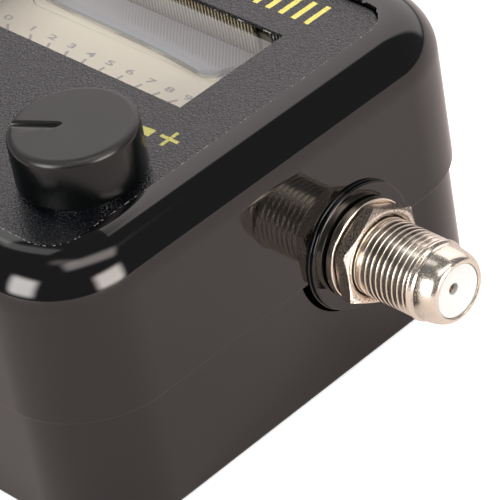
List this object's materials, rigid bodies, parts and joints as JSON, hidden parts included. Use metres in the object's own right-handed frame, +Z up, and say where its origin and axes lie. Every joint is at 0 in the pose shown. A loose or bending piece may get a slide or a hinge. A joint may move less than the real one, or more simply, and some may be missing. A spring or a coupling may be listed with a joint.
{
  "type": "satellite signal meter",
  "caption": "Small gloss black box with a windowed needle meter, a gain knob and a threaded coaxial socket on each side, for aiming a dish.",
  "frame": {"origin": "on the surface the box lies on, under the middle of the box", "axes": "+Z up out of the box's face, +X to its right side along the sockets, +Y towards its top end"},
  "size_m": [0.0944, 0.0644, 0.0423],
  "materials": {
    "shell": "polished black",
    "label": "fine leather grain",
    "knob": "satin black",
    "nickel": "warm nickel plate",
    "steel": "plain",
    "brass": "plain",
    "copper": "enamelled copper wire",
    "board": "green solder mask",
    "dark_plastic": "plain",
    "white_plastic": "plain",
    "clear_plastic": "clear",
    "dial": "matt cream",
    "needle": "matt black"
  },
  "bodies": {
    "housing": {"upper_shell": "shell", "lower_shell": "shell", "label_panel": "label", "housing_screw_1": "steel", "housing_screw_2": "steel", "housing_screw_3": "steel", "housing_screw_4": "steel", "circuit_board": "board", "board_screw_1": "steel", "board_screw_2": "steel", "supply_capacitor_1": "dark_plastic", "supply_capacitor_2": "dark_plastic", "amplifier_transistor_1": "dark_plastic", "amplifier_transistor_2": "dark_plastic", "supply_choke": "copper", "detector_diode": "dark_plastic", "connector_body_right": "nickel", "connector_insulator_right": "white_plastic", "connector_contact_right": "brass", "connector_washer_right": "nickel", "connector_nut_right": "nickel", "connector_body_left": "nickel", "connector_insulator_left": "white_plastic", "connector_contact_left": "brass", "connector_washer_left": "nickel", "connector_nut_left": "nickel", "pot_bush": "brass", "pot_housing": "steel", "pot_track": "dark_plastic", "pot_washer": "steel", "pot_nut": "steel", "pot_lead_1": "copper", "pot_lead_2": "copper", "pot_lead_3": "copper", "meter_cover": "clear_plastic", "meter_base": "dark_plastic", "dial_plate": "dial", "dial_screw_1": "steel", "dial_screw_2": "steel", "light_guide": "white_plastic", "meter_yoke": "steel", "magnet_core": "steel", "meter_bridge": "brass", "hairspring": "brass", "lower_bearing": "brass", "meter_terminal_1": "brass", "meter_terminal_2": "brass", "backlight_led": "white_plastic", "led_lead_1": "steel", "led_lead_2": "steel"},
    "gain_knob": {"knob": "knob", "pot_shaft": "steel", "pot_wiper": "copper"},
    "pointer": {"meter_needle": "needle", "moving_coil": "copper", "meter_staff": "steel"}
  },
  "joints": [
    {"name": "gain_turn", "type": "hinge", "parent": "housing", "child": "gain_knob", "pos_m": [0.01854, -0.01514, 0.036], "axis": [0, 0, -1], "range_deg": [-19.5, 260.5]},
    {"name": "needle_swing", "type": "hinge", "parent": "housing", "child": "pointer", "pos_m": [0, -0.0121, 0.0306], "axis": [0, 0, -1], "range_deg": [0, 92], "stiffness_Nm_per_rad": 0.000002}
  ]
}
